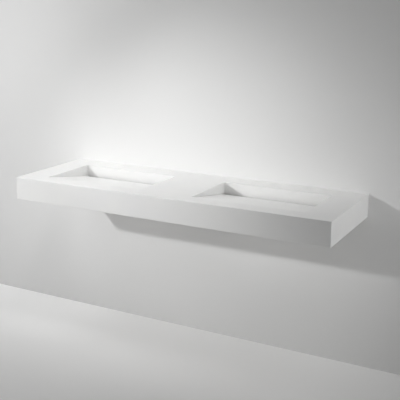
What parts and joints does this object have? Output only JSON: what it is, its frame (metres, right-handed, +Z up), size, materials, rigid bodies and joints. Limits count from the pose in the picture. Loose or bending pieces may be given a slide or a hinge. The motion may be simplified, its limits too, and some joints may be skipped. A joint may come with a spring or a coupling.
{
  "type": "double washbasin",
  "caption": "Wall-hung double washbasin slab with rectangular bowls whose lift-out ramps drain into rear slots, carried on hidden battens and steel wall brackets.",
  "frame": {"origin": "the middle of the wall fixings, in the wall's plane: the deck's top is 65 mm above it and the aprons' lower edge 43 mm below it", "axes": "+X to the right along the wall as a user faces it, +Y into the wall, +Z up; the basin lies at negative Y"},
  "size_m": [1.6, 0.5, 0.165],
  "materials": {
    "solid_surface": "matte",
    "plywood": "matte",
    "bracket_steel": "satin",
    "screw_zinc": "satin",
    "waste_chrome": "polished",
    "nut_brass": "satin",
    "rubber_ring": "matte",
    "silicone": "satin"
  },
  "bodies": {
    "basin": {"bracket_screws": "screw_zinc", "deck": "solid_surface", "front_apron": "solid_surface", "front_batten": "plywood", "inner_left_batten": "plywood", "inner_left_bracket": "bracket_steel", "inner_right_batten": "plywood", "inner_right_bracket": "bracket_steel", "left_apron": "solid_surface", "left_bowl_floor": "solid_surface", "left_bowl_front_wall": "solid_surface", "left_bowl_left_wall": "solid_surface", "left_bowl_rear_wall": "solid_surface", "left_bowl_right_wall": "solid_surface", "left_ramp_left_rail": "solid_surface", "left_ramp_pads": "silicone", "left_ramp_right_rail": "solid_surface", "left_waste": "waste_chrome", "left_waste_gasket": "rubber_ring", "left_waste_nut": "nut_brass", "left_waste_seal": "rubber_ring", "outer_left_batten": "plywood", "outer_left_bracket": "bracket_steel", "outer_right_batten": "plywood", "outer_right_bracket": "bracket_steel", "rear_batten": "plywood", "right_apron": "solid_surface", "right_bowl_floor": "solid_surface", "right_bowl_front_wall": "solid_surface", "right_bowl_left_wall": "solid_surface", "right_bowl_rear_wall": "solid_surface", "right_bowl_right_wall": "solid_surface", "right_ramp_left_rail": "solid_surface", "right_ramp_pads": "silicone", "right_ramp_right_rail": "solid_surface", "right_waste": "waste_chrome", "right_waste_gasket": "rubber_ring", "right_waste_nut": "nut_brass", "right_waste_seal": "rubber_ring"},
    "left_ramp": {"left_ramp": "solid_surface"},
    "right_ramp": {"right_ramp": "solid_surface"}
  },
  "joints": [
    {"name": "left_ramp_lift", "type": "slide", "parent": "basin", "child": "left_ramp", "axis": [0, 0, 1], "range_m": [0, 0.12]},
    {"name": "right_ramp_lift", "type": "slide", "parent": "basin", "child": "right_ramp", "axis": [0, 0, 1], "range_m": [0, 0.12]}
  ]
}
